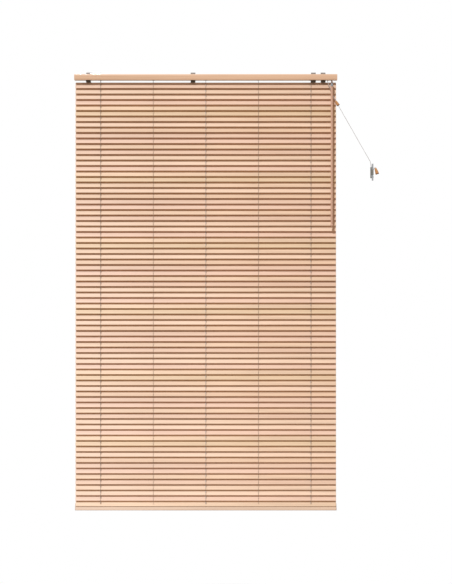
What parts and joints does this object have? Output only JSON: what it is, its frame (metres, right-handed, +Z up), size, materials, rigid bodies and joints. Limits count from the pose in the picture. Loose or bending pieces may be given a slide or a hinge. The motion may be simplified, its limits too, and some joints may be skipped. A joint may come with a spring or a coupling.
{
  "type": "venetian blind",
  "caption": "Wide bamboo venetian blind: wooden-fronted headrail on wall brackets, tilting slats on ladder cords, bottom rail, turning wand, cord lock, pull cord with tassel and wall cleat.",
  "frame": {"origin": "on the wall plane, at the centre of the four screw holes of the two outer brackets", "axes": "+X along the slats to the wand's side, +Y into the wall, +Z up"},
  "size_m": [1.1577, 0.0438, 1.6707],
  "materials": {
    "rail_steel": "satin white paint",
    "front_wood": "clear satin lacquer on fine straight grain",
    "slat_bamboo": "clear satin lacquer on pale bamboo",
    "bracket_steel": "satin zinc plate",
    "latch_plastic": "dark matt",
    "inner_plastic": "satin off-white",
    "rod_steel": "bright drawn",
    "clip_brown": "satin brown",
    "sleeve_clear": "clear, slightly blue",
    "wand_wood": "satin pinkish wood",
    "bell_wood": "glossy orange-brown wood",
    "cord_cloth": "braided light grey polyester",
    "ladder_cloth": "braided beige polyester",
    "cleat_plastic": "translucent grey"
  },
  "bodies": {
    "frame_body": {"headrail": "rail_steel", "wooden_front": "front_wood", "front_clips": "inner_plastic", "end_cap_left": "front_wood", "end_cap_right": "front_wood", "brackets": "bracket_steel", "drum_cradles": "inner_plastic", "tilter_housing": "inner_plastic", "cord_lock": "inner_plastic", "headrail_cords": "cord_cloth", "lift_cords": "cord_cloth", "lock_cords": "cord_cloth", "cord_joiner": "bell_wood", "pull_cord": "cord_cloth", "cord_tassel": "bell_wood", "cord_cleat": "cleat_plastic", "slats_between": "slat_bamboo", "ladder_01": "ladder_cloth"},
    "tilt_shaft": {"tilt_rod": "rod_steel", "ladder_drums": "inner_plastic", "worm_wheel": "inner_plastic"},
    "tilt_worm": {"worm_stem": "clip_brown"},
    "wand_clip": {"wand_hook": "clip_brown"},
    "wand_stick": {"wand_sleeve": "sleeve_clear", "wand": "wand_wood", "wand_ferrule": "wand_wood"},
    "cord_roller": {"lock_roller": "inner_plastic"},
    "latch_1": {"bracket_latch_1": "latch_plastic"},
    "latch_2": {"bracket_latch_2": "latch_plastic"},
    "latch_3": {"bracket_latch_3": "latch_plastic"},
    "latch_4": {"bracket_latch_4": "latch_plastic"},
    "lift_carriage": {"rail_knots": "cord_cloth"},
    "foot_rail": {"bottom_rail": "slat_bamboo", "rail_end_caps": "clip_brown", "rail_buttons": "clip_brown"},
    "ladder_group_02": {"ladder_02": "ladder_cloth"},
    "ladder_group_03": {"ladder_03": "ladder_cloth"},
    "ladder_group_04": {"ladder_04": "ladder_cloth"},
    "ladder_group_05": {"ladder_05": "ladder_cloth"},
    "ladder_group_06": {"ladder_06": "ladder_cloth"},
    "ladder_group_07": {"ladder_07": "ladder_cloth"},
    "ladder_group_08": {"ladder_08": "ladder_cloth"},
    "ladder_group_09": {"ladder_09": "ladder_cloth"},
    "ladder_group_10": {"ladder_10": "ladder_cloth"},
    "ladder_group_11": {"ladder_11": "ladder_cloth"},
    "hinged_slat_04": {"slat_04": "slat_bamboo"},
    "hinged_slat_11": {"slat_11": "slat_bamboo"},
    "hinged_slat_18": {"slat_18": "slat_bamboo"},
    "hinged_slat_25": {"slat_25": "slat_bamboo"},
    "hinged_slat_32": {"slat_32": "slat_bamboo"},
    "hinged_slat_39": {"slat_39": "slat_bamboo"},
    "hinged_slat_46": {"slat_46": "slat_bamboo"},
    "hinged_slat_53": {"slat_53": "slat_bamboo"},
    "hinged_slat_60": {"slat_60": "slat_bamboo"},
    "hinged_slat_67": {"slat_67": "slat_bamboo"},
    "hinged_slat_74": {"slat_74": "slat_bamboo"}
  },
  "joints": [
    {"name": "lift", "type": "slide", "parent": "frame_body", "child": "lift_carriage", "axis": [0, 0, 1], "range_m": [0, 1.09987], "deforming": ["slats_between", "lift_cords", "ladder_01", "ladder_02", "ladder_03", "ladder_04", "ladder_05", "ladder_06", "ladder_07", "ladder_08", "ladder_09", "ladder_10", "ladder_11"]},
    {"name": "lift_02", "type": "slide", "parent": "frame_body", "child": "ladder_group_02", "axis": [0, 0, 1], "range_m": [0, 0.10999]},
    {"name": "lift_03", "type": "slide", "parent": "frame_body", "child": "ladder_group_03", "axis": [0, 0, 1], "range_m": [0, 0.21998]},
    {"name": "lift_04", "type": "slide", "parent": "frame_body", "child": "ladder_group_04", "axis": [0, 0, 1], "range_m": [0, 0.32996]},
    {"name": "lift_05", "type": "slide", "parent": "frame_body", "child": "ladder_group_05", "axis": [0, 0, 1], "range_m": [0, 0.43995]},
    {"name": "lift_06", "type": "slide", "parent": "frame_body", "child": "ladder_group_06", "axis": [0, 0, 1], "range_m": [0, 0.54994]},
    {"name": "lift_07", "type": "slide", "parent": "frame_body", "child": "ladder_group_07", "axis": [0, 0, 1], "range_m": [0, 0.65992]},
    {"name": "lift_08", "type": "slide", "parent": "frame_body", "child": "ladder_group_08", "axis": [0, 0, 1], "range_m": [0, 0.76991]},
    {"name": "lift_09", "type": "slide", "parent": "frame_body", "child": "ladder_group_09", "axis": [0, 0, 1], "range_m": [0, 0.8799]},
    {"name": "lift_10", "type": "slide", "parent": "frame_body", "child": "ladder_group_10", "axis": [0, 0, 1], "range_m": [0, 0.98989]},
    {"name": "lift_11", "type": "slide", "parent": "frame_body", "child": "ladder_group_11", "axis": [0, 0, 1], "range_m": [0, 1.09987]},
    {"name": "tilt", "type": "hinge", "parent": "frame_body", "child": "tilt_shaft", "pos_m": [0, -0.0155, 0], "axis": [-1, 0, 0], "range_deg": [0, 64]},
    {"name": "tilt_slat_04", "type": "hinge", "parent": "frame_body", "child": "hinged_slat_04", "pos_m": [0, -0.0155, -0.09235], "axis": [-1, 0, 0], "range_deg": [0, 64]},
    {"name": "tilt_slat_11", "type": "hinge", "parent": "ladder_group_02", "child": "hinged_slat_11", "pos_m": [0, -0.0155, -0.239], "axis": [-1, 0, 0], "range_deg": [0, 64]},
    {"name": "tilt_slat_18", "type": "hinge", "parent": "ladder_group_03", "child": "hinged_slat_18", "pos_m": [0, -0.0155, -0.38565], "axis": [-1, 0, 0], "range_deg": [0, 64]},
    {"name": "tilt_slat_25", "type": "hinge", "parent": "ladder_group_04", "child": "hinged_slat_25", "pos_m": [0, -0.0155, -0.5323], "axis": [-1, 0, 0], "range_deg": [0, 64]},
    {"name": "tilt_slat_32", "type": "hinge", "parent": "ladder_group_05", "child": "hinged_slat_32", "pos_m": [0, -0.0155, -0.67895], "axis": [-1, 0, 0], "range_deg": [0, 64]},
    {"name": "tilt_slat_39", "type": "hinge", "parent": "ladder_group_06", "child": "hinged_slat_39", "pos_m": [0, -0.0155, -0.8256], "axis": [-1, 0, 0], "range_deg": [0, 64]},
    {"name": "tilt_slat_46", "type": "hinge", "parent": "ladder_group_07", "child": "hinged_slat_46", "pos_m": [0, -0.0155, -0.97225], "axis": [-1, 0, 0], "range_deg": [0, 64]},
    {"name": "tilt_slat_53", "type": "hinge", "parent": "ladder_group_08", "child": "hinged_slat_53", "pos_m": [0, -0.0155, -1.1189], "axis": [-1, 0, 0], "range_deg": [0, 64]},
    {"name": "tilt_slat_60", "type": "hinge", "parent": "ladder_group_09", "child": "hinged_slat_60", "pos_m": [0, -0.0155, -1.26555], "axis": [-1, 0, 0], "range_deg": [0, 64]},
    {"name": "tilt_slat_67", "type": "hinge", "parent": "ladder_group_10", "child": "hinged_slat_67", "pos_m": [0, -0.0155, -1.4122], "axis": [-1, 0, 0], "range_deg": [0, 64]},
    {"name": "tilt_slat_74", "type": "hinge", "parent": "ladder_group_11", "child": "hinged_slat_74", "pos_m": [0, -0.0155, -1.55885], "axis": [-1, 0, 0], "range_deg": [0, 64]},
    {"name": "tilt_foot", "type": "hinge", "parent": "lift_carriage", "child": "foot_rail", "pos_m": [0, -0.0155, -1.6362], "axis": [-1, 0, 0], "range_deg": [0, 64]},
    {"name": "worm_spin", "type": "hinge", "parent": "frame_body", "child": "tilt_worm", "pos_m": [0.479, -0.01199, -0.00752], "axis": [0, -0.9063, -0.4226], "range_deg": [0, 768]},
    {"name": "wand_swing", "type": "hinge", "parent": "frame_body", "child": "wand_clip", "pos_m": [0.479, -0.03737, -0.01936], "axis": [-1, 0, 0], "range_deg": [0, 75]},
    {"name": "wand_spin", "type": "hinge", "parent": "wand_clip", "child": "wand_stick", "pos_m": [0.479, -0.03737, -0.01936], "axis": [0, 0, -1], "range_deg": [0, 768]},
    {"name": "lock_roller_turn", "type": "hinge", "parent": "frame_body", "child": "cord_roller", "pos_m": [0.463, -0.0205, -0.005], "axis": [1, 0, 0], "continuous": true},
    {"name": "latch_turn_1", "type": "hinge", "parent": "frame_body", "child": "latch_1", "pos_m": [-0.448, -0.011, -0.0125], "axis": [0, 0, 1], "range_deg": [0, 90]},
    {"name": "latch_turn_2", "type": "hinge", "parent": "frame_body", "child": "latch_2", "pos_m": [-0.049, -0.011, -0.0125], "axis": [0, 0, 1], "range_deg": [0, 90]},
    {"name": "latch_turn_3", "type": "hinge", "parent": "frame_body", "child": "latch_3", "pos_m": [0.411, -0.011, -0.0125], "axis": [0, 0, 1], "range_deg": [0, 90]},
    {"name": "latch_turn_4", "type": "hinge", "parent": "frame_body", "child": "latch_4", "pos_m": [0.448, -0.011, -0.0125], "axis": [0, 0, 1], "range_deg": [0, 90]}
  ],
  "couplings": [
    {"joint": "lift_02", "follows": "lift", "ratio": 0.1},
    {"joint": "lift_03", "follows": "lift", "ratio": 0.2},
    {"joint": "lift_04", "follows": "lift", "ratio": 0.3},
    {"joint": "lift_05", "follows": "lift", "ratio": 0.4},
    {"joint": "lift_06", "follows": "lift", "ratio": 0.5},
    {"joint": "lift_07", "follows": "lift", "ratio": 0.6},
    {"joint": "lift_08", "follows": "lift", "ratio": 0.7},
    {"joint": "lift_09", "follows": "lift", "ratio": 0.8},
    {"joint": "lift_10", "follows": "lift", "ratio": 0.9},
    {"joint": "lift_11", "follows": "lift", "ratio": 1},
    {"joint": "tilt_slat_04", "follows": "tilt", "ratio": 1},
    {"joint": "tilt_slat_11", "follows": "tilt", "ratio": 1},
    {"joint": "tilt_slat_18", "follows": "tilt", "ratio": 1},
    {"joint": "tilt_slat_25", "follows": "tilt", "ratio": 1},
    {"joint": "tilt_slat_32", "follows": "tilt", "ratio": 1},
    {"joint": "tilt_slat_39", "follows": "tilt", "ratio": 1},
    {"joint": "tilt_slat_46", "follows": "tilt", "ratio": 1},
    {"joint": "tilt_slat_53", "follows": "tilt", "ratio": 1},
    {"joint": "tilt_slat_60", "follows": "tilt", "ratio": 1},
    {"joint": "tilt_slat_67", "follows": "tilt", "ratio": 1},
    {"joint": "tilt_slat_74", "follows": "tilt", "ratio": 1},
    {"joint": "tilt_foot", "follows": "tilt", "ratio": 1},
    {"joint": "worm_spin", "follows": "tilt", "ratio": 12},
    {"joint": "wand_spin", "follows": "tilt", "ratio": 12}
  ]
}
